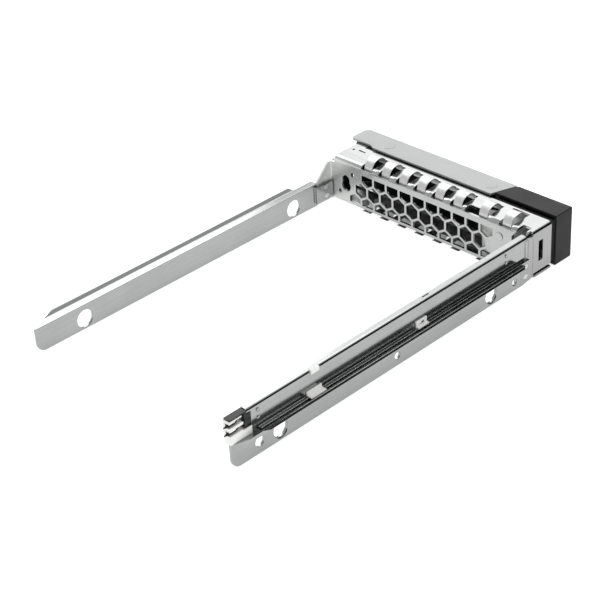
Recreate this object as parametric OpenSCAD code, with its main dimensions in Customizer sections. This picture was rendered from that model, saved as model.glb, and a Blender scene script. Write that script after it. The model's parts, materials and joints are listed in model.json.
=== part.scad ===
// Empty hot-swap carrier for a 2.5-inch drive.
// Two sheet-metal rails stand behind a vented front box. A handle hinges across
// the front, a sprung button frees it, and two light pipes run along one rail.
// +Z is up, the handle faces -Y, the rails' free ends point to +Y, and the
// light pipes are on the -X side. The origin is under the middle of the outline,
// on the plane that the carrier rests on.

/* [Overall] */
// Length from the handle's front face to the light pipe tips
length = 127.2; // [126.6:0.1:130]
// Width over the front box and over the webs of the two rails
body_w = 74; // [73.4:0.1:74.6]
// Thickness of the plated steel sheet
sheet = 0.8; // [0.7:0.05:0.9]
// Height of the front box's top plate
box_top = 14.4; // [14.2:0.1:14.4]
// Height of the handle and of the latch housing
front_h = 15.2; // [15.2:0.1:15.6]

/* [Drive fixing] */
// Distance between the two screw holes of each rail
hole_pitch = 76.6; // [76.6:0.1:76.8]
// Height of the screw holes above the resting plane
hole_z = 3.0; // [2.8:0.1:3.2]
// Radius of the plain rail's screw holes
plain_hole_r = 2.55; // [2.2:0.05:2.7]
// Radius of the light pipe rail's screw holes
dimple_hole_r = 2.2; // [1.8:0.05:2.3]

/* [Rails] */
// Height of a rail's guide flange
rail_h = 7.2; // [7:0.1:7.4]
// Width of the level part of the guide flange
guide_w = 1.6; // [1.4:0.1:1.8]
// Length of the slanted lip on the guide flange
lip_l = 1.6; // [1.4:0.1:1.8]
// Top of the light pipe cover
cover_top = 14.2; // [14:0.1:14.3]

/* [Honeycomb] */
// Distance between the cells of the vented wall
cell_pitch = 4.9; // [4.8:0.05:5]
// Width of the metal between two cells
cell_web = 0.75; // [0.6:0.05:0.9]

/* [Motion] */
// How far the release button goes in
button_travel = 1.6; // [1:0.1:1.6]
// Running clearance between moving pieces
gap = 0.15; // [0.1:0.01:0.2]

/* [Hidden] */
$fn = 48;
eps = 0.02;

// Outline
half_w = body_w / 2;
in_w = half_w - sheet;
front_y = -length / 2;
tip_y = length / 2;
hole_front_y = front_y + 33.6;
hole_rear_y = hole_front_y + hole_pitch;
box_front_y = hole_front_y - 24.95;
wall_y = hole_front_y - 15.8;
rail_end_y = hole_rear_y + 15.6;
far_seam_y = hole_front_y - 9.7;
near_seam_y = hole_front_y - 12;

// Front box
wall_z0 = 0.6;
plate_z = box_top - sheet;
side_z0 = 1.55;
bend_r = 1.4;
far_top_x = 34.8;
side_rear_y = hole_front_y - 15;
floor_z0 = 0.15;
floor_z1 = floor_z0 + 0.7;
lug_z = [floor_z1 - 0.05, 1.5];

// Honeycomb: the middle row's height and the first cell of each row
row_z = 6.2;
row_step = cell_pitch * sqrt(3) / 2;
cells_z0 = 1.5;
cells_z1 = 11.4;
upper_cell_x = 22;
middle_cell_x = upper_cell_x + cell_pitch / 2;
lower_cell_x = upper_cell_x + cell_pitch;

// Contact springs
finger_w = 3.0;
window_w = 4.0;
finger_t = 0.2;
finger_r = 3.2;
finger_x = [for (i = [0:5]) 22.1 - 6.65 * i, -20.2, -28.3];
finger_top_z = front_h + 1.1;
window_y0 = wall_y - 7.55;
window_z0 = box_top - 1.2;

// Light pipes
pipe_r = 0.55;
pipe_x = -(in_w - 0.58);
pipe_end_x = -(half_w - 0.45);
pipe_z = [10.5, 12.7];
pipe_step_l = 2.8;
pipe_step_z = 0.3;
shoulder_y0 = tip_y - 8;
shoulder_y1 = tip_y - 5.9;
holder_y1 = tip_y - 1.2;
cover_y = [side_rear_y + 0.4, shoulder_y0 + 1.2];
clip_y = [[33, 38], [-4.3, -0.3]];
clip_tab_y = [33.5, 36.2];
clip_tab_x = [-half_w - 0.3, -in_w - 0.15];
cover_foot_t = 0.5;

// Handle and pivot
pivot = [34, front_y + 4.2];
pin_r = 1.2;
hub_r = 3;
lug_r = 3.1;
skin_t = 0.7;
flange_rear_y = box_front_y - 0.45;
tail_rear_y = flange_rear_y - 0.95;
free_x_rear = -15.6;
free_x_front = -18.5;
core_z = [2.1, 9.2];
tail_x = pivot[0] + 3.9;
core_rear_y = front_y + 6.4;

// Latch
button_x = [-33.5, -24.5];
button_z = [3.2, 12];
wedge_x = [-29.5, -25.5];
cap_rear_y = front_y + 7;
cap_x = -(half_w + 0.2);
cap_free_rear = free_x_rear - 0.6;
cap_free_front = free_x_front - 0.45;
cap_t = 1.1;
slide_z = [5.6, 9.4];
collar_z = [2.3, 13.3];
carrier_z = [2.4, 13];
wedge_line = 31.5;

// Solid box between two opposite corners
module slab(x, y, z) {
  translate([x[0], y[0], z[0]]) cube([x[1] - x[0], y[1] - y[0], z[1] - z[0]]);
}

// Extrudes an X-Z outline from y0 to y1
module along_y(y0, y1) {
  translate([0, y1, 0]) rotate([90, 0, 0]) linear_extrude(y1 - y0) children();
}

// Extrudes a Y-Z outline from x0 to x1
module along_x(x0, x1) {
  translate([x0, 0, 0]) rotate([90, 0, 90]) linear_extrude(x1 - x0) children();
}

// Quarter of a bent sheet's corner: outer radius r, in the quadrant sx, sy
module bend(r, sx, sy) {
  intersection() {
    difference() {
      circle(r);
      circle(r - sheet);
    }
    translate([sx > 0 ? 0 : -r, sy > 0 ? 0 : -r]) square(r);
  }
}

// Upright hexagon of the honeycomb, in a Y-Z or X-Z plane
module cell(flat) {
  rotate(90) circle(r = flat / sqrt(3), $fn = 6);
}

// One row of cells from x0 towards -X, at height z
module cell_row(x0, z, count) {
  for (i = [0:count - 1])
    translate([x0 - i * cell_pitch, z]) cell(cell_pitch - cell_web);
}

// All the cells, cut level along the top and the bottom row
module honeycomb() {
  intersection() {
    union() {
      cell_row(upper_cell_x, row_z + row_step, 10);
      cell_row(middle_cell_x, row_z, 10);
      cell_row(lower_cell_x, row_z - row_step, 11);
    }
    translate([-in_w, cells_z0]) square([body_w, cells_z1 - cells_z0]);
  }
}

// Round hole or pin along X
module rod_x(x0, x1, y, z, r) {
  translate([x0, y, z]) rotate([0, 90, 0]) cylinder(r = r, h = x1 - x0);
}

// Openings for the contact fingers in the top plate and its rear bend, the last one longer
module finger_windows() {
  for (x = finger_x)
    slab([x - window_w / 2, x + window_w / 2], [window_y0, wall_y + 1], [window_z0, box_top + 1]);
  slab([finger_x[7] - window_w / 2, finger_x[7] + window_w / 2 + 1.6],
       [window_y0 - 0.9, window_y0 + 1.5], [plate_z - 1, box_top + 1]);
}

// Passage beside the wall for the light pipes and the end of their cover
module pipe_notch() {
  along_y(wall_y - 3, wall_y + 1)
    polygon([[-in_w, 8.2], [-30.9, 8.2], [-30.7, 11.5], [-32.3, 13.4], [-32.6, box_top + 1],
             [-35, box_top + 1], [-35.4, 13.3], [-in_w, 13.3]]);
}

module frame() color("silver") {
  difference() {
    union() {
      // Top plate with the bend into the near side
      along_y(box_front_y, wall_y - bend_r) {
        translate([-half_w + 1.2, plate_z]) square([far_top_x + half_w - 1.2, sheet]);
        translate([-half_w + 1.2, box_top - 1.2]) bend(1.2, -1, 1);
      }
      // Near side wall with the low ear that meets the rail
      along_x(-half_w, -in_w)
        polygon([[box_front_y, side_z0], [wall_y - 1.8, side_z0], [wall_y - 1.2, 0.6],
                 [wall_y + 3, 0], [near_seam_y, 0], [near_seam_y, rail_h],
                 [side_rear_y, rail_h], [side_rear_y, box_top - 1.2],
                 [box_front_y, box_top - 1.2]]);
      // Bend from the top plate into the vented wall
      along_x(-half_w + 1.2, far_top_x)
        translate([wall_y - bend_r, box_top - bend_r]) bend(bend_r, 1, 1);
      // Vented wall
      along_y(wall_y - sheet, wall_y) {
        translate([-in_w, wall_z0]) square([far_top_x + in_w, box_top - bend_r - wall_z0]);
        translate([far_top_x - eps, wall_z0])
          square([half_w - 1.2 - far_top_x + eps, box_top - bend_r - 0.8 - wall_z0]);
      }
      // Far corner and the ear that slopes down to the rail
      intersection() {
        union() {
          translate([half_w - 1.2, wall_y - sheet + 1.2, 0])
            linear_extrude(box_top) bend(1.2, 1, -1);
          slab([in_w, half_w], [wall_y - sheet + 1.2, far_seam_y], [0, box_top]);
        }
        along_x(in_w - 2, half_w)
          polygon([[wall_y - sheet, 0], [far_seam_y, 0], [far_seam_y, rail_h],
                   [wall_y + 0.8, 12.2], [wall_y - sheet, 12.2]]);
      }
      // Lug over the handle's pivot
      hull() {
        translate([pivot[0], pivot[1], plate_z]) cylinder(r = lug_r, h = sheet, $fn = 32);
        slab([pivot[0] - lug_r, far_top_x], [box_front_y - 1, box_front_y], [plate_z, box_top]);
      }
      slab([pivot[0] - lug_r, far_top_x], [box_front_y - 1, box_front_y + eps],
           [plate_z, box_top]);
      // Half-pierced dimple beside the honeycomb
      translate([-26.5, wall_y, 9.9]) rotate([-90, 0, 0]) cylinder(r = 1.3, h = 0.25);
    }
    along_y(wall_y - 2, wall_y + 1) {
      honeycomb();
      // Keyhole and two pinholes
      translate([30.4, 7.8]) circle(1.5);
      translate([30.3, 6]) circle(1.75);
      translate([27.7, 10.2]) circle(0.7);
      translate([32.9, 3.6]) circle(0.6);
    }
    finger_windows();
    slab([-18.4, -14.4], [wall_y - 2.6, wall_y + 1], [window_z0, box_top + 1]);
    // Lanced mark and pinhole in the top plate's far corner
    slab([28.8, 31.4], [box_front_y + 1.8, box_front_y + 2.4], [plate_z - 1, box_top + 1]);
    translate([33, box_front_y + 2.6, plate_z - 1]) cylinder(r = 0.4, h = 3);
    pipe_notch();
    // Vertical slot in the near side
    slab([-half_w - 1, -in_w + 1], [box_front_y + 3.6, box_front_y + 5.4], [4.6, 10.7]);
    // Fine groove down the near side
    slab([-half_w - 1, -half_w + 0.12], [wall_y - 1.45, wall_y - 1.2], [1.6, 12.4]);
    translate([pivot[0], pivot[1], 0]) cylinder(r = pin_r, h = box_top + 1);
    for (z = [2.2, 5.2]) {
      rod_x(in_w - 1, half_w + 1, far_seam_y - 3.2, z, 0.9);
      rod_x(-half_w - 1, -in_w + 1, near_seam_y - 2.2, z, 0.9);
    }
  }
}

module bottom_cover() color("gainsboro") {
  difference() {
    union() {
      slab([-half_w, half_w], [box_front_y, wall_y - sheet], [floor_z0, floor_z1]);
      slab([in_w, half_w], [box_front_y, wall_y - sheet - 0.2], [floor_z0, 12]);
      hull() {
        translate([pivot[0], pivot[1], lug_z[0]])
          cylinder(r = lug_r, h = lug_z[1] - lug_z[0], $fn = 32);
        slab([pivot[0] - lug_r, half_w], [box_front_y, box_front_y + 1], lug_z);
      }
    }
    for (x = finger_x)
      slab([x - window_w / 2, x + window_w / 2], [wall_y - 4.4, wall_y], [-1, 2]);
    slab([-half_w - 1, -in_w], [wall_y - 2, wall_y + 1], [-1, 2]);
    translate([pivot[0], pivot[1], 0]) cylinder(r = pin_r, h = 3);
  }
}

// X-Z outline of the rail on the +X side: web, level guide flange, slanted lip
module rail_outline() {
  d = lip_l / sqrt(2);
  e = sheet / sqrt(2);
  k = sheet * tan(22.5);
  translate([in_w, 0]) square([sheet, rail_h]);
  polygon([[in_w, rail_h], [in_w, rail_h - sheet], [half_w + guide_w + k, rail_h - sheet],
           [half_w + guide_w + k + d, rail_h - sheet + d],
           [half_w + guide_w + k + d - e, rail_h - sheet + d + e],
           [half_w + guide_w, rail_h]]);
}

// Plan outline of a rail, with the guide flange drawn in at its free end
module rail_plan(y0, lip_y0) {
  polygon([[in_w - 1, y0], [half_w + guide_w, y0], [half_w + guide_w, lip_y0],
           [half_w + 4, lip_y0 + 3.4], [half_w + 4, rail_end_y - 14],
           [half_w + 2.6, rail_end_y - 8], [half_w + 1.3, rail_end_y - 3],
           [half_w, rail_end_y], [in_w - 1, rail_end_y]]);
}

// One rail with its front tab lapped inside the frame's ear
module rail(y0, lip_y0, tab_y0) {
  corner = 2.6;
  difference() {
    intersection() {
      along_y(y0, rail_end_y) rail_outline();
      linear_extrude(box_top) rail_plan(y0, lip_y0);
    }
    along_x(in_w - 1, half_w + 1)
      difference() {
        translate([rail_end_y - corner, -1]) square([corner + 1, corner + 1]);
        translate([rail_end_y - corner, corner]) circle(corner);
      }
  }
  slab([in_w - sheet, in_w], [tab_y0, y0 + 0.9], [0.9, 6.2]);
}

module plain_rail() color("lightgray") {
  difference() {
    rail(far_seam_y, hole_front_y - 2.5, wall_y + 0.3);
    for (y = [hole_front_y, hole_rear_y])
      rod_x(in_w - 1, half_w + 1, y, hole_z, plain_hole_r);
    for (z = [2.2, 5.2])
      rod_x(in_w - 1, half_w + 1, far_seam_y - 3.2, z, 0.9);
  }
}

// Dished metal round a screw hole, which stands inwards to meet the drive
module dimple(y) {
  translate([-in_w - eps, y, hole_z]) rotate([0, 90, 0])
    cylinder(r1 = hole_z - 0.1, r2 = dimple_hole_r + 0.5, h = 0.3);
}

module light_pipe_rail() color("lightgray") {
  difference() {
    union() {
      mirror([1, 0, 0]) rail(near_seam_y, near_seam_y, wall_y + 0.3);
      for (y = [hole_front_y, hole_rear_y]) dimple(y);
    }
    for (y = [hole_front_y, hole_rear_y]) {
      rod_x(-half_w - 1, -in_w + 2, y, hole_z, dimple_hole_r);
      translate([-half_w - eps, y, hole_z]) rotate([0, 90, 0])
        cylinder(r1 = dimple_hole_r + 0.3, r2 = dimple_hole_r, h = 0.3);
    }
    rod_x(-half_w - 1, -in_w + 1, hole_rear_y + 6.8, hole_z + 0.3, 1.4);
    rod_x(-half_w - 1, -in_w + 1, hole_front_y + 36.35, hole_z - 0.2, 1);
    rod_x(-half_w - 1, -in_w + 1, hole_front_y - 9.5, hole_z - 0.4, 1);
    for (z = [2.2, 5.2])
      rod_x(-half_w - 1, -in_w + 1, near_seam_y - 2.2, z, 0.9);
  }
}

module light_pipe_cover() color("whitesmoke") {
  web_end_y = shoulder_y0 - 0.1;
  web_z = [rail_h, cover_top - 1];
  difference() {
    union() {
      // Web, top bend and top flange
      slab([-half_w, -in_w], [cover_y[0], web_end_y], web_z);
      along_y(cover_y[0], cover_y[1]) {
        translate([-half_w + 1, cover_top - 1]) bend(1, -1, 1);
        translate([-half_w + 1, cover_top - sheet]) square([1.05, sheet]);
      }
      // Foot on the rail's guide flange
      slab([-half_w - 0.9, -half_w + eps], [cover_y[0], web_end_y - 2],
           [rail_h + 0.2, rail_h + cover_foot_t]);
      // Raised band at the front end
      slab([-half_w - 0.2, -half_w + eps], [cover_y[0], cover_y[0] + 1],
           [rail_h + cover_foot_t, cover_top - 1]);
      // Paired dimples in the web
      for (y = [hole_rear_y + 6.7, hole_front_y - 5.8], z = [10.2, 12.4])
        rod_x(-half_w - 0.25, -half_w + eps, y, z, 0.5);
    }
    slab([-half_w + 1.2, -half_w + 1.6], [-7, -4.6], [cover_top - 1, cover_top + 1]);
    // Notch for the upper tab and slot behind the front lug
    slab([-half_w - 1, clip_tab_x[1]], clip_tab_y, [cover_top - 1.2, cover_top + 1]);
    lug_slot();
  }
}

// Rivets through the lapped tabs, their heads on the side that is out of the way
module rail_rivets() color("darkgray") {
  for (z = [2.2, 5.2]) {
    rod_x(in_w - sheet, half_w, far_seam_y - 3.2, z, 0.9);
    rod_x(half_w, half_w + 0.4, far_seam_y - 3.2, z, 1.5);
    rod_x(-half_w, -in_w + sheet, near_seam_y - 2.2, z, 0.9);
    rod_x(-in_w + sheet, -in_w + sheet + 0.4, near_seam_y - 2.2, z, 1.3);
  }
}

// Contact strip whose fingers leave it as half-round arches and end in a short leg
module emi_spring_top() color("gray") {
  arch_y = wall_y - sheet - 0.13 - finger_r;
  arch_z = finger_top_z - finger_r;
  strip_z = plate_z - 0.35;
  slab([finger_x[7] - 2.2, finger_x[0] + 2.2], [box_front_y + 0.2, arch_y - finger_r + finger_t],
       [strip_z, strip_z + finger_t]);
  for (x = finger_x)
    along_x(x - finger_w / 2, x + finger_w / 2) {
      intersection() {
        translate([arch_y, arch_z]) difference() {
          circle(finger_r, $fn = 64);
          circle(finger_r - finger_t, $fn = 64);
        }
        translate([arch_y - finger_r, arch_z]) square([2 * finger_r, finger_r]);
      }
      translate([arch_y - finger_r, arch_z]) square([finger_t, strip_z + finger_t - arch_z]);
      translate([arch_y + finger_r - finger_t, window_z0 - 0.8])
        square([finger_t, arch_z - window_z0 + 0.8 + eps]);
    }
}

// Lower contact strip, whose fingers pass under the vented wall
module emi_spring_bottom() color("gray") {
  arch_r = 3.6;
  arch_y = wall_y - 0.4;
  strip_z = floor_z1 + 0.15;
  strip_y1 = arch_y - 2.5;
  slab([finger_x[7] - 2.2, finger_x[0] + 2.2], [box_front_y + 0.5, strip_y1],
       [strip_z, strip_z + finger_t]);
  for (x = finger_x)
    along_x(x - finger_w / 2, x + finger_w / 2)
      intersection() {
        translate([arch_y, arch_r + 0.04]) difference() {
          circle(arch_r, $fn = 96);
          circle(arch_r - finger_t, $fn = 96);
        }
        translate([arch_y - arch_r, 0]) square([arch_r + 0.9, strip_z + finger_t]);
      }
}

// Diamond-section rod from y0 to y1 at (x, z)
module diamond_rod(x, z, y0, y1) {
  translate([x, y1, z]) rotate([90, 0, 0]) cylinder(r = pipe_r, h = y1 - y0, $fn = 4);
}

// Light pipe with a moulded shoulder, a step outwards and a pointed end
module light_pipe(z, shoulder_z) {
  jog_y = shoulder_y1 - 0.1;
  step_y = jog_y + pipe_step_l;
  end_z = z - pipe_step_z;
  tip_l = 1.2;
  diamond_rod(pipe_x, z, front_y + 0.1, jog_y);
  slab([-half_w - 0.15, pipe_x + pipe_r], [shoulder_y0, shoulder_y1], shoulder_z);
  hull() {
    diamond_rod(pipe_x, z, jog_y - eps, jog_y);
    diamond_rod(pipe_end_x, end_z, step_y, step_y + eps);
  }
  diamond_rod(pipe_end_x, end_z, step_y, tip_y - tip_l);
  translate([pipe_end_x, tip_y - tip_l, end_z]) rotate([-90, 0, 0])
    cylinder(r1 = pipe_r, r2 = 0.12, h = tip_l, $fn = 4);
}

module light_pipe_upper() color("dimgray") {
  tongue_x = [-half_w - 0.15, pipe_x + pipe_r];
  light_pipe(pipe_z[1], [pipe_z[1] - 1.05, cover_top - 1.05]);
  // Tongue over the top prong of the holder
  slab(tongue_x, [cover_y[1] + 0.1, shoulder_y1], [cover_top - 1.06, cover_top - 0.25]);
  slab(tongue_x, [cover_y[1] + 0.1, holder_y1 - 0.3], [cover_top - 0.55, cover_top - 0.25]);
}

module light_pipe_lower() color("dimgray")
  light_pipe(pipe_z[0], [pipe_z[0] - 1.1, pipe_z[1] - 1.1]);

// Block behind the cover whose prongs carry the ends of the light pipes
module light_pipe_holder() color("white") {
  step_end_y = shoulder_y1 + pipe_step_l;
  prong_z = [pipe_z[0] + pipe_r, pipe_z[1] - pipe_step_z - pipe_r];
  difference() {
    union() {
      slab([-half_w - 0.3, -half_w + 2], [shoulder_y1 + 0.8, holder_y1],
           [rail_h, cover_top - 0.6]);
      slab([-half_w - 0.3, -half_w + 2], [shoulder_y0, shoulder_y1 + 1],
           [rail_h, pipe_z[0] - 1.15]);
      // Rounded front end of the prong between the pipes
      rod_x(-half_w - 0.3, -half_w + 2, shoulder_y1 + 0.8, (prong_z[0] + prong_z[1]) / 2,
            (prong_z[1] - prong_z[0]) / 2);
    }
    // Slots that the pipes' ends lie in, open to the back where the pipes step outwards
    for (z = pipe_z) {
      slab([-half_w - 1, pipe_end_x + pipe_r + 0.15], [shoulder_y1 - 1, holder_y1 + 1],
           [z - pipe_step_z - pipe_r, z - pipe_step_z + pipe_r]);
      slab([-half_w - 1, -half_w + 3], [shoulder_y1 - 1, step_end_y],
           [z - pipe_step_z - pipe_r, z + pipe_r]);
    }
  }
}

// Slot through the cover and its front lug
module lug_slot() {
  slab([-half_w - 1, -in_w + 1], [clip_y[1][0] + 0.9, clip_y[1][1] - 1.1],
       [rail_h + 0.95, rail_h + 1.75]);
}

// Moulded lugs that show through the cover: folded feet over the guide flange and a top tab
module light_pipe_clips() color("white") {
  foot_z = rail_h + cover_foot_t;
  slab([-half_w - 0.35, -half_w], clip_y[0], [foot_z, foot_z + 1.3]);
  slab([-half_w - 1.9, -half_w], clip_y[0], [foot_z, foot_z + 0.35]);
  difference() {
    slab([-half_w - 0.35, -half_w], clip_y[1], [foot_z, foot_z + 1.9]);
    lug_slot();
  }
  slab([-half_w - 1.2, -half_w], clip_y[1], [foot_z, rail_h + 0.95]);
  slab(clip_tab_x, clip_tab_y, [cover_top - 1.2, cover_top]);
}

// Plan of the latch housing, grown or shrunk by t
module cap_plan(t) {
  polygon([[cap_x - t, front_y - t], [cap_free_front + t, front_y - t],
           [cap_free_rear + t, cap_rear_y], [cap_x - t, cap_rear_y]]);
}

module latch_housing() color("dimgray") {
  wall_x = cap_x + 0.9;
  difference() {
    union() {
      linear_extrude(front_h) cap_plan(0);
      // Collar between the housing and the front box
      slab([-half_w + 0.4, cap_free_rear - 0.9], [cap_rear_y - eps, box_front_y],
           [1.5, box_top - 0.3]);
    }
    // Inside, open towards the box
    translate([0, 0, 1]) linear_extrude(front_h - 2)
      polygon([[wall_x, front_y + cap_t], [cap_free_front - 1.3, front_y + cap_t],
               [cap_free_rear - 1.7, cap_rear_y + eps], [wall_x, cap_rear_y + eps]]);
    slab([wall_x, cap_free_rear - 1.8], [cap_rear_y - 0.5, box_front_y + 1], collar_z);
    // Button opening, light pipe holes and the way out for the latch nose
    slab(button_x, [front_y - 1, front_y + 2], button_z);
    for (z = pipe_z)
      translate([pipe_x, front_y - 1, z]) rotate([-90, 0, 0])
        cylinder(r = pipe_r + 0.1, h = 4);
    slab([-20, -14], [front_y + 4.4, front_y + 6.4], [slide_z[0] - 0.2, slide_z[1] + 0.2]);
  }
}

module latch_carrier() color("lightgray") {
  y0 = box_front_y - 0.1;
  y1 = wall_y - 1.6;
  end_r = 2.4;
  x = [-30.5, -20.5];
  difference() {
    union() {
      slab(x, [y0, y1], carrier_z);
      // Rounded end beside the vent
      translate([x[1], y1 - end_r, carrier_z[0]])
        cylinder(r = end_r, h = carrier_z[1] - carrier_z[0]);
      // Arms above and below the slide, held in the housing's collar
      for (z = [[slide_z[1] + gap, collar_z[1]], [collar_z[0], slide_z[0] - gap]])
        slab(x, [y0 - 2.4, y0 + eps], z);
    }
    slab([x[0] + 1.5, x[1] - 3], [y0 + 1.2, y1 + 1], [3.8, 11.6]);
  }
}

module release_button() color("black") {
  y0 = front_y + 0.2;
  lip_y = front_y + cap_t + 0.05;
  slab([button_x[0] + gap, button_x[1] - gap], [y0, y0 + 2],
       [button_z[0] + gap, button_z[1] - gap]);
  // Rim that keeps the button in
  slab([button_x[0] - 0.7, button_x[1] + 0.7], [lip_y, lip_y + 0.8],
       [button_z[0] - 0.4, button_z[1] + 0.4]);
  // Wedge that drives the slide
  translate([0, 0, 6.2]) linear_extrude(2.6)
    polygon([[wedge_x[0], front_y + 1.9], [wedge_x[1], front_y + 1.9],
             [wedge_x[1], front_y + 6], [wedge_line + front_y + 6, front_y + 6],
             [wedge_x[0], wedge_x[0] - wedge_line]]);
}

module latch_slide() color("orange") {
  y0 = front_y + 4.1;
  y1 = box_front_y - 0.25;
  c = wedge_line - 0.17;
  window_x = wedge_x[1] + button_travel + 0.2;
  translate([0, 0, slide_z[0]]) linear_extrude(slide_z[1] - slide_z[0])
    difference() {
      union() {
        translate([-32.5, y0]) square([12.3, y1 - y0]);
        translate([-21, y0 + 0.6]) square([21 + free_x_rear - 0.35, 1.4]);
      }
      polygon([[c + y0 - 1, y0 - 1], [c + y1 - 0.6, y1 - 0.6], [window_x, y1 - 0.6],
               [window_x, y0 - 1]]);
    }
}

// Helical spring of round wire along +Z
module coil(r, wire_r, pitch, turns) {
  sides = 6;
  steps = 18;
  n = floor(turns * steps);
  ring = [for (i = [0:n], j = [0:sides - 1])
    let (a = 360 * i / steps, b = 360 * j / sides, q = r + wire_r * cos(b))
    [q * cos(a), q * sin(a), pitch * i / steps + wire_r * sin(b)]];
  skin = [for (i = [0:n - 1], j = [0:sides - 1])
    let (k = (j + 1) % sides)
    [i * sides + j, i * sides + k, (i + 1) * sides + k, (i + 1) * sides + j]];
  first = [for (j = [sides - 1:-1:0]) j];
  last = [for (j = [0:sides - 1]) n * sides + j];
  polyhedron(ring, concat([first], skin, [last]));
}

module latch_spring() color("silver")
  translate([cap_x + 0.9 + 0.25, front_y + 6.2, (slide_z[0] + slide_z[1]) / 2])
    rotate([0, 90, 0]) coil(1.3, 0.2, 0.72, 4.5);

// Hexagonal holes of the handle's face
module handle_cells() {
  pitch = 4.8;
  for (r = [-1:1], i = [0:6])
    translate([-8.9 + i * pitch + (1 - r * r) * pitch / 2, front_h / 2 + r * pitch * sqrt(3) / 2])
      cell(pitch - 0.9);
}

// Plan of the handle's top and bottom flanges
module handle_plan() {
  polygon([[free_x_front, front_y], [tail_x - 1.2, front_y], [tail_x, front_y + 1.2],
           [tail_x, tail_rear_y - 0.8], [tail_x - 0.8, tail_rear_y], [30.2, tail_rear_y],
           [28.2, flange_rear_y], [free_x_rear, flange_rear_y]]);
}

module handle_skin() color("gainsboro") {
  difference() {
    union() {
      linear_extrude(skin_t) handle_plan();
      translate([0, 0, front_h - skin_t]) linear_extrude(skin_t) handle_plan();
      slab([free_x_front, tail_x - 1.2], [front_y, front_y + skin_t], [0, front_h]);
      // Chamfered corner and the short end wall beside the pivot
      linear_extrude(front_h)
        polygon([[tail_x - 1.2, front_y], [tail_x, front_y + 1.2], [tail_x, front_y + 2.7],
                 [tail_x - 0.6, front_y + 2.7], [tail_x - 0.6, front_y + 1.4],
                 [tail_x - 1.3, front_y + skin_t]]);
    }
    along_y(front_y - 1, front_y + 2) handle_cells();
    for (x = [25.4, -12.6])
      translate([x, front_y + 4.4, -1]) cylinder(r = 0.9, h = front_h + 2);
  }
}

module handle_core() color("#303234") {
  y0 = front_y + skin_t + 0.1;
  z = [skin_t, front_h - skin_t];
  difference() {
    union() {
      slab([-14.2, 27.4], [y0, core_rear_y], z);
      slab([27.4 - eps, 30.2], [y0, core_rear_y], [skin_t, 11.5]);
      // Striker that the latch holds
      slab([free_x_rear + 0.1, -13], [front_y + 6.2, flange_rear_y - 0.1], [4.6, 10.4]);
      slab([-14.2, -12], [core_rear_y - eps, flange_rear_y - 0.1], [4.6, 10.4]);
      // Arm and hub on the pivot
      slab([26, pivot[0]], [pivot[1] - 2, pivot[1] + 1.6], core_z);
      translate([pivot[0], pivot[1], core_z[0]]) cylinder(r = hub_r, h = core_z[1] - core_z[0]);
    }
    along_y(y0 - 1, core_rear_y + 1) handle_cells();
    translate([pivot[0], pivot[1], 0]) cylinder(r = pin_r + 0.05, h = front_h);
    for (x = [25.4, -12.6])
      translate([x, front_y + 4.4, -1]) cylinder(r = 0.9, h = front_h + 2);
  }
}

module handle_rivets() color("lightgray")
  for (x = [25.4, -12.6])
    translate([x, front_y + 4.4, 0]) {
      cylinder(r = 0.9, h = front_h);
      translate([0, 0, front_h]) cylinder(r1 = 1.9, r2 = 1.6, h = 0.15);
    }

module pivot_pin() color("silver")
  translate([pivot[0], pivot[1], lug_z[0]]) cylinder(r = pin_r, h = box_top - lug_z[0]);

// Thin washers under the hub and over the spring
module pivot_washers() color("goldenrod")
  for (z = [lug_z[1] + 0.1, plate_z - 0.5])
    translate([pivot[0], pivot[1], z]) difference() {
      cylinder(r = 2.4, h = 0.4);
      translate([0, 0, -1]) cylinder(r = pin_r + 0.02, h = 3);
    }

// Torsion spring on the pin, with one leg towards the box and one along the handle
module handle_spring() color("silver") {
  coil_r = 1.75;
  wire_r = 0.25;
  coil_pitch = 0.56;
  coil_turns = 5.25;
  translate([pivot[0], pivot[1], core_z[1] + 0.45]) {
    coil(coil_r, wire_r, coil_pitch, coil_turns);
    translate([coil_r, 0.1, 0]) rotate([90, 0, 0]) cylinder(r = wire_r - 0.01, h = 2.7);
    translate([0.4, coil_r - 0.03, coil_pitch * coil_turns]) rotate([0, -90, 0])
      cylinder(r = wire_r - 0.01, h = 5.4);
  }
}

frame();
bottom_cover();
plain_rail();
light_pipe_rail();
light_pipe_cover();
rail_rivets();
emi_spring_top();
emi_spring_bottom();
light_pipe_upper();
light_pipe_lower();
light_pipe_holder();
light_pipe_clips();
latch_housing();
latch_carrier();
release_button();
latch_slide();
latch_spring();
handle_skin();
handle_core();
handle_rivets();
pivot_pin();
pivot_washers();
handle_spring();
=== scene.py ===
# Looks of an empty hot-swap carrier for a 2.5-inch drive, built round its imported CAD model.
# Lengths are in metres unless a name or comment says mm; angles are in degrees.
import json
import math

import bmesh
import bpy
from mathutils import Matrix, Vector
from mathutils.bvhtree import BVHTree


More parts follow.
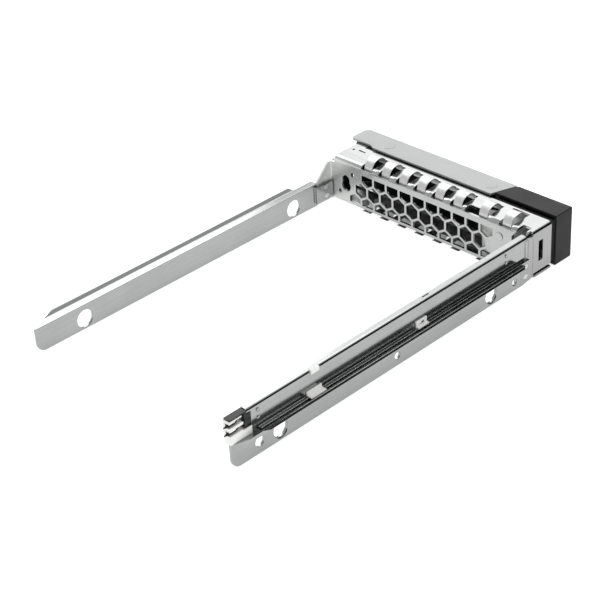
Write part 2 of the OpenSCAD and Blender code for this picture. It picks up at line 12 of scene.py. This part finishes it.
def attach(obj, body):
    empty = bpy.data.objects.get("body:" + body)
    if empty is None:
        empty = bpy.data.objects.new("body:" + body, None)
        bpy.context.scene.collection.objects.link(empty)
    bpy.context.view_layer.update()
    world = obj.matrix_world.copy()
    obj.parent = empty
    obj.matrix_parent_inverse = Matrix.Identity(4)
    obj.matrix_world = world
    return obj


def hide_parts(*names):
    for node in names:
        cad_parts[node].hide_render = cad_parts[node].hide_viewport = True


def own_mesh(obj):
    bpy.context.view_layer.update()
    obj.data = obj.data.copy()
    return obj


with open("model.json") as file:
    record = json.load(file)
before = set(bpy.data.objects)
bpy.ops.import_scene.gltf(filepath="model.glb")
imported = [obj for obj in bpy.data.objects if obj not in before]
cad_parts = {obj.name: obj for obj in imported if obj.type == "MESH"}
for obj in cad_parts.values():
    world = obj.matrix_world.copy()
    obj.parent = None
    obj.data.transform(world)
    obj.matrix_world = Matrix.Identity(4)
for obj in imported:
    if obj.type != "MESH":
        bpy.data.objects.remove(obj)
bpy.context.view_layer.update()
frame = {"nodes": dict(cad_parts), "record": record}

MM = 0.001
WHITE = (1.0, 1.0, 1.0, 1.0)


# ---------------------------------------------------------------- camera

VIEW_AZIMUTH = 227.006
VIEW_ELEVATION = 32.002
VIEW_ROLL = -3.589
VIEW_DISTANCE = 0.4201
VIEW_TARGET = Vector((-0.0026, 0.0060, 0.0050))
LENS_MM = 97.06
SENSOR_MM = 36.0
CLIP_START = 0.01


def direction(azimuth, elevation):
    """Unit vector towards a compass direction: 0 is -Y, 90 is +X."""
    a, e = math.radians(azimuth), math.radians(elevation)
    return Vector((math.sin(a) * math.cos(e), -math.cos(a) * math.cos(e), math.sin(e)))


def view_axes():
    """Right, up and backward directions of the camera."""
    az, roll = math.radians(VIEW_AZIMUTH), math.radians(VIEW_ROLL)
    back = direction(VIEW_AZIMUTH, VIEW_ELEVATION)
    level = Vector((math.cos(az), math.sin(az), 0))
    upright = level.cross(-back)
    right = math.cos(roll) * level + math.sin(roll) * upright
    up = -math.sin(roll) * level + math.cos(roll) * upright
    return right, up, back


def add_camera():
    """Camera at the view's angle, made the scene's own."""
    right, up, back = view_axes()
    data = bpy.data.cameras.new("camera")
    data.lens = LENS_MM
    data.sensor_width = SENSOR_MM
    data.clip_start = CLIP_START
    camera = bpy.data.objects.new("camera", data)
    turn = Matrix((right, up, back)).transposed().to_4x4()
    camera.matrix_world = Matrix.Translation(VIEW_TARGET + back * VIEW_DISTANCE) @ turn
    bpy.context.scene.collection.objects.link(camera)
    bpy.context.scene.camera = camera


# ---------------------------------------------------------------- floor and light

WORLD_LIGHT = 0.7

FLOOR_HALF = 3.0
FLOOR_Z = -0.0002
FLOOR_SHADE = 0.6
FLOOR_GLOW = 0.78
FLOOR_ROUGH = 0.9

# A bright backdrop beyond the object, brighter on its right, and dark cards beside and behind the camera:
# name, azimuth, elevation, distance, width, height, shade and glow
CARDS = [
    ("backdrop_light", 20, 34, 1.2, 1.0, 0.9, 1.0, 0.88),
    ("backdrop_right", 72, 34, 1.2, 0.9, 0.9, 1.0, 2.2),
    ("side_flag", -47, 18.5, 0.9, 1.5, 0.62, 0.004, 0.0),
    ("camera_flag", VIEW_AZIMUTH, 30, 0.9, 0.9, 0.9, 0.01, 0.0),
]

KEY_AZIMUTH = 10
KEY_ELEVATION = 68
KEY_DISTANCE = 1.1
KEY_WIDTH = 0.9
KEY_HEIGHT = 0.6
KEY_WATTS = 3.5


def matte(name, shade, rough, glow):
    """Even grey material without gloss, which may glow."""
    material = bpy.data.materials.new(name)
    material.use_nodes = True
    shader = material.node_tree.nodes["Principled BSDF"]
    shader.inputs["Base Color"].default_value = (shade, shade, shade, 1)
    shader.inputs["Roughness"].default_value = rough
    shader.inputs["Specular IOR Level"].default_value = 0.0
    if glow:
        shader.inputs["Emission Color"].default_value = WHITE
        shader.inputs["Emission Strength"].default_value = glow
    return material


def add_plane(name, half_width, half_height, z, material):
    """Rectangle round the Z axis that belongs to the studio, not to the object."""
    w, h = half_width, half_height
    mesh = bpy.data.meshes.new(name)
    mesh.from_pydata([(-w, -h, z), (w, -h, z), (w, h, z), (-w, h, z)], [], [(0, 1, 2, 3)])
    mesh.materials.append(material)
    plane = bpy.data.objects.new(name, mesh)
    bpy.context.scene.collection.objects.link(plane)
    return plane


def add_card(name, azimuth, elevation, distance, width, height, shade, glow):
    """Card that faces the object and shows in its reflections only."""
    card = add_plane(name, width / 2, height / 2, 0, matte(name, shade, 1.0, glow))
    centre = direction(azimuth, elevation) * distance
    card.matrix_world = (
        Matrix.Translation(centre) @ (-centre).to_track_quat("Z", "Y").to_matrix().to_4x4()
    )
    card.visible_camera = False
    card.visible_diffuse = False


def add_key():
    """Large soft lamp above and beyond the object."""
    lamp = bpy.data.lights.new("key", "AREA")
    lamp.shape = "RECTANGLE"
    lamp.size = KEY_WIDTH
    lamp.size_y = KEY_HEIGHT
    lamp.energy = KEY_WATTS
    key = bpy.data.objects.new("key", lamp)
    away = direction(KEY_AZIMUTH, KEY_ELEVATION)
    key.matrix_world = (
        Matrix.Translation(away * KEY_DISTANCE) @ away.to_track_quat("Z", "Y").to_matrix().to_4x4()
    )
    key.visible_camera = False
    bpy.context.scene.collection.objects.link(key)


def add_studio():
    """World, floor, cards and lamp."""
    scene = bpy.context.scene
    world = bpy.data.worlds.new("studio")
    world.use_nodes = True
    background = world.node_tree.nodes["Background"]
    background.inputs["Color"].default_value = WHITE
    background.inputs["Strength"].default_value = WORLD_LIGHT
    scene.world = world
    scene.view_settings.view_transform = "Standard"
    add_plane("floor", FLOOR_HALF, FLOOR_HALF, FLOOR_Z, matte("floor", FLOOR_SHADE, FLOOR_ROUGH, FLOOR_GLOW))
    for card in CARDS:
        add_card(*card)
    add_key()


# ---------------------------------------------------------------- materials

# The frame's sheet has painted shade on the near side wall, and painted light with duller gloss towards the
# far ear below the top plate. Each pair is where the change begins and ends.
NEAR_WALL_X = (-0.03695, -0.0366)
NEAR_WALL_PAINTED_SHADE = 0.72
FAR_EAR_X = (0.022, 0.036)
FAR_EAR_PAINTED_LIGHT = (0.8, 0.81, 0.8)
FAR_EAR_ROUGH = 0.4
TOP_PLATE_Z = (0.0136, 0.0144)

ZINC_STREAK = 0.72
ALONG_X = (0.02, 1, 1)
ALONG_Y = (1, 0.02, 1)
ALONG_STRIP = (1, 0.08, 1)


def shaded(colour, share):
    """The colour made darker or lighter by a share, at most white."""
    return tuple(min(1.0, share * c) for c in colour)


class Nodes:
    """Short way to lay out a node material."""

    def __init__(self, name):
        self.material = bpy.data.materials.new(name)
        self.material.use_nodes = True
        self.tree = self.material.node_tree
        self.shader = self.tree.nodes["Principled BSDF"]
        self.place = self.tree.nodes.new("ShaderNodeTexCoord").outputs["Object"]

    def node(self, kind, **values):
        made = self.tree.nodes.new(kind)
        for key, value in values.items():
            setattr(made, key, value)
        return made

    def link(self, a, b):
        self.tree.links.new(a, b)

    def noise(self, per_mm, detail, rough, stretch=(1, 1, 1)):
        """Noise with so many blobs to the millimetre, drawn out along the axes with a small stretch."""
        mapping = self.node("ShaderNodeMapping")
        mapping.inputs["Scale"].default_value = [per_mm / MM * s for s in stretch]
        self.link(self.place, mapping.inputs["Vector"])
        made = self.node("ShaderNodeTexNoise")
        made.inputs["Scale"].default_value = 1.0
        made.inputs["Detail"].default_value = detail
        made.inputs["Roughness"].default_value = rough
        self.link(mapping.outputs["Vector"], made.inputs["Vector"])
        return made.outputs["Fac"]

    def ramp(self, value, low, high, start=0.3, end=0.7):
        """Low up to start, high from end on, and a straight line between."""
        made = self.node("ShaderNodeMapRange")
        made.inputs["From Min"].default_value = start
        made.inputs["From Max"].default_value = end
        made.inputs["To Min"].default_value = low
        made.inputs["To Max"].default_value = high
        self.link(value, made.inputs["Value"])
        return made.outputs["Result"]

    def math(self, kind, a, b):
        made = self.node("ShaderNodeMath", operation=kind)
        for socket, value in zip(made.inputs, (a, b)):
            if isinstance(value, (int, float)):
                socket.default_value = value
            else:
                self.link(value, socket)
        return made.outputs["Value"]

    def mix(self, factor, a, b):
        """Colour a where the factor is 0, and b where it is 1."""
        made = self.node("ShaderNodeMix", data_type="RGBA")
        self.link(factor, made.inputs["Factor"])
        for socket, value in ((made.inputs["A"], a), (made.inputs["B"], b)):
            if isinstance(value, tuple):
                socket.default_value = (*value, 1)
            else:
                self.link(value, socket)
        return made.outputs["Result"]

    def colour(self, value):
        self.link(value, self.shader.inputs["Base Color"])

    def roughness(self, value):
        self.link(value, self.shader.inputs["Roughness"])

    def bump(self, height, strength, depth_mm):
        made = self.node("ShaderNodeBump")
        made.inputs["Strength"].default_value = strength
        made.inputs["Distance"].default_value = depth_mm * MM
        self.link(height, made.inputs["Height"])
        self.link(made.outputs["Normal"], self.shader.inputs["Normal"])

    def fix(self, **values):
        """Even values, set on the shader's own sockets."""
        for key, value in values.items():
            self.shader.inputs[key.replace("_", " ")].default_value = value


def zinc(name, light, dark, rough, grain, painted_shading=False):
    """Zinc-plated steel: faint clouds, fine lines along the rolling direction, small handling marks."""
    n = Nodes(name)
    clouds = n.noise(per_mm=0.09, detail=4.0, rough=0.6)
    lines = n.noise(per_mm=1.1, detail=3.0, rough=0.7, stretch=grain)
    spots = n.noise(per_mm=2.2, detail=2.0, rough=0.5)
    tone = n.mix(n.ramp(clouds, 0.0, 1.0), dark, light)
    gloss = n.ramp(lines, rough * 0.8, rough * 1.25)
    # Painted shade on the near side wall and painted light on the far ear, both set by position
    if painted_shading:
        split = n.node("ShaderNodeSeparateXYZ")
        n.link(n.place, split.inputs["Vector"])
        x, z = split.outputs["X"], split.outputs["Z"]
        tone = n.mix(n.ramp(x, 1.0, 0.0, *NEAR_WALL_X), tone, shaded(light, NEAR_WALL_PAINTED_SHADE))
        # Far ear below the top plate: painted light in the colour, and a duller gloss
        far = n.math("MULTIPLY", n.ramp(z, 1.0, 0.0, *TOP_PLATE_Z), n.ramp(x, 0.0, 1.0, *FAR_EAR_X))
        tone = n.mix(far, tone, FAR_EAR_PAINTED_LIGHT)
        gloss = n.math("ADD", gloss, n.math("MULTIPLY", far, FAR_EAR_ROUGH))
    streak = n.ramp(lines, 0.0, 0.22, start=0.35, end=0.75)
    n.colour(n.mix(streak, tone, shaded(dark, ZINC_STREAK)))
    n.roughness(n.math("ADD", gloss, n.ramp(spots, 0.0, 0.05, start=0.55, end=0.8)))
    n.bump(n.math("ADD", lines, n.math("MULTIPLY", spots, 0.25)), strength=0.1, depth_mm=0.008)
    n.fix(Metallic=1.0)
    return n.material


def spring_steel(name, shade, rough=0.24):
    """Rolled stainless strip or drawn wire."""
    n = Nodes(name)
    lines = n.noise(per_mm=1.6, detail=2.0, rough=0.6, stretch=ALONG_STRIP)
    n.colour(n.mix(n.ramp(lines, 0.0, 1.0), shaded(shade, 0.85), shade))
    n.roughness(n.ramp(lines, rough * 0.8, rough * 1.2))
    n.bump(lines, strength=0.08, depth_mm=0.006)
    n.fix(Metallic=1.0)
    return n.material


def plastic(name, shade, rough, lift=1.5, gloss=0.5):
    """Moulded plastic with a spark-eroded grain and faint rubbed patches, lighter by lift."""
    n = Nodes(name)
    grain = n.noise(per_mm=1 / 0.22, detail=2.0, rough=0.5)
    clouds = n.noise(per_mm=0.12, detail=3.0, rough=0.6)
    n.colour(n.mix(n.ramp(clouds, 0.0, 0.6, start=0.45, end=0.75), shade, shaded(shade, lift)))
    patches = n.ramp(clouds, rough - 0.05, rough + 0.05)
    n.roughness(n.math("ADD", patches, n.ramp(grain, 0.0, 0.06)))
    n.bump(grain, strength=0.4, depth_mm=0.02)
    n.fix(Specular_IOR_Level=gloss)
    return n.material


def metallic_paint(name, shade, rough):
    """Fine silver paint with flakes under a satin coat."""
    n = Nodes(name)
    flakes = n.noise(per_mm=5.0, detail=1.0, rough=0.4)
    clouds = n.noise(per_mm=0.08, detail=3.0, rough=0.6)
    base = n.mix(n.ramp(clouds, 0.0, 1.0), shaded(shade, 0.93), shade)
    n.colour(n.mix(n.ramp(flakes, 0.0, 0.35, start=0.5, end=0.7), base, shaded(shade, 1.2)))
    n.roughness(n.ramp(flakes, rough - 0.05, rough + 0.07))
    n.bump(n.noise(per_mm=2.5, detail=2.0, rough=0.5), strength=0.18, depth_mm=0.012)
    n.fix(Metallic=0.55, Coat_Weight=0.25, Coat_Roughness=0.25)
    return n.material


def smoky_plastic(name, dark, light):
    """Clear dark plastic of the light pipes."""
    n = Nodes(name)
    clouds = n.noise(per_mm=0.3, detail=3.0, rough=0.5)
    n.colour(n.mix(n.ramp(clouds, 0.0, 1.0), dark, light))
    n.roughness(n.ramp(n.noise(per_mm=1.5, detail=2.0, rough=0.5), 0.06, 0.16))
    n.bump(n.noise(per_mm=0.8, detail=2.0, rough=0.5), strength=0.1, depth_mm=0.01)
    n.fix(Specular_IOR_Level=0.2)
    return n.material


LOOKS = {
    "frame": zinc("zinc_sheet", (0.47, 0.475, 0.47), (0.40, 0.41, 0.405), 0.15, ALONG_X, painted_shading=True),
    "under": zinc("cover_plate", (0.30, 0.305, 0.30), (0.25, 0.255, 0.25), 0.3, ALONG_X),
    "rail": zinc("rail_sheet", (0.37, 0.382, 0.376), (0.335, 0.347, 0.341), 0.15, ALONG_Y),
    "cover": zinc("cover_sheet", (0.38, 0.386, 0.382), (0.335, 0.345, 0.34), 0.16, ALONG_Y),
    "rivet": spring_steel("rivet_steel", (0.60, 0.60, 0.60), 0.3),
    "spring": spring_steel("spring_steel", (0.55, 0.56, 0.57)),
    # The finger strip is the spring steel made lighter and rougher, and the extra lightness is painted light
    "fingers": spring_steel("finger_strip", (0.72, 0.72, 0.72), 0.36),
    "pin": spring_steel("pin_steel", (0.62, 0.62, 0.62), 0.2),
    "pipe": smoky_plastic("light_pipe", (0.010, 0.010, 0.011), (0.022, 0.022, 0.023)),
    "holder": plastic("holder_plastic", (0.86, 0.86, 0.85), 0.35, lift=1.05),
    "housing": plastic("housing_plastic", (0.006, 0.006, 0.006), 0.42, gloss=0.2),
    "carrier": plastic("carrier_plastic", (0.72, 0.72, 0.71), 0.4, lift=1.1),
    "button": plastic("button_plastic", (0.03, 0.03, 0.031), 0.4),
    "slide": plastic("slide_plastic", (0.035, 0.035, 0.036), 0.35),
    "paint": metallic_paint("handle_sheet", (0.335, 0.34, 0.34), 0.36),
    "core": plastic("core_plastic", (0.006, 0.006, 0.0065), 0.45, gloss=0.1),
}


# ---------------------------------------------------------------- pieces made from the CAD nodes

MERGE_DISTANCE = 2e-6
FLAT_ANGLE = 1.0
SHARP_ANGLE = 30
PULL_SHARE = 0.45
FACE_WEIGHT = 100

BODIES = {
    node: body
    for body, nodes in frame["record"]["behaviour"]["bodies"].items()
    for node in nodes
}


def finish_mesh(bm, name):
    """Writes a bmesh to a new object whose big faces stay flat and whose rounded edges shade smoothly."""
    bmesh.ops.recalc_face_normals(bm, faces=bm.faces)
    for face in bm.faces:
        face.smooth = True
    mesh = bpy.data.meshes.new(name)
    bm.to_mesh(mesh)
    bm.free()
    piece = bpy.data.objects.new(name, mesh)
    bpy.context.scene.collection.objects.link(piece)
    weighted = piece.modifiers.new("weighted", "WEIGHTED_NORMAL")
    weighted.keep_sharp = True
    weighted.weight = FACE_WEIGHT
    return piece


def round_edges(bm, radius, segments, angle):
    """Rounds every edge sharper than the angle."""
    limit = math.radians(angle)
    sharp = [e for e in bm.edges if len(e.link_faces) == 2 and e.calc_face_angle(0) > limit]
    bmesh.ops.bevel(
        bm, geom=sharp, offset=radius, offset_type="OFFSET", segments=segments,
        profile=0.5, affect="EDGES", clamp_overlap=False, harden_normals=False,
    )


def pull_back(bm, skin, reach, low, high):
    """Moves the points that a bevel threw off the original skin back onto it, inside its box."""
    for vert in bm.verts:
        place, _, _, away = skin.find_nearest(vert.co)
        if away > reach:
            vert.co = place
        for i in range(3):
            vert.co[i] = min(max(vert.co[i], low[i]), high[i])


def refine(node, look, radius_mm, segments=2, angle=SHARP_ANGLE):
    """A piece with the node's shape, clean faces and rounded edges, which stands for the node."""
    bm = bmesh.new()
    bm.from_mesh(frame["nodes"][node].data)
    skin = BVHTree.FromBMesh(bm)
    low = [min(v.co[i] for v in bm.verts) for i in range(3)]
    high = [max(v.co[i] for v in bm.verts) for i in range(3)]
    bmesh.ops.remove_doubles(bm, verts=bm.verts, dist=MERGE_DISTANCE)
    bmesh.ops.dissolve_limit(bm, angle_limit=math.radians(FLAT_ANGLE), verts=bm.verts, edges=bm.edges)
    if radius_mm:
        round_edges(bm, radius_mm * MM, segments, angle)
        pull_back(bm, skin, PULL_SHARE * radius_mm * MM, low, high)
    piece = finish_mesh(bm, node + "_piece")
    piece.data.materials.append(LOOKS[look])
    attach(piece, BODIES[node])
    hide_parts(node)
    return piece


def keep(node, look):
    """Keeps a CAD node as it is, with a better material."""
    mesh = frame["nodes"][node].data
    mesh.materials.clear()
    mesh.materials.append(LOOKS[look])


add_camera()
add_studio()

refine("frame", "frame", 0.12)
refine("bottom_cover", "under", 0.10)
refine("plain_rail", "rail", 0.14)
refine("light_pipe_rail", "rail", 0.12)
refine("light_pipe_cover", "cover", 0.08)
refine("rail_rivets", "rivet", 0.12)
refine("emi_spring_top", "fingers", 0.04, segments=1)
refine("emi_spring_bottom", "fingers", 0.04, segments=1)
refine("light_pipe_upper", "pipe", 0.06, angle=25)
refine("light_pipe_lower", "pipe", 0.06, angle=25)
refine("light_pipe_holder", "holder", 0.08)
refine("light_pipe_clips", "holder", 0.08)
refine("latch_housing", "housing", 0.25, segments=3)
refine("latch_carrier", "carrier", 0.2, segments=3)
refine("release_button", "button", 0.15, segments=3)
refine("latch_slide", "slide", 0.12)
refine("handle_skin", "paint", 0.14)
refine("handle_core", "core", 0.15)
refine("handle_rivets", "paint", 0.06)

# The latch's return spring keeps its CAD shape without rounded edges, on a mesh of its own
spring = refine("latch_spring", "spring", 0)
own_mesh(spring)

keep("handle_spring", "spring")
keep("pivot_pin", "pin")
keep("pivot_washers", "pin")
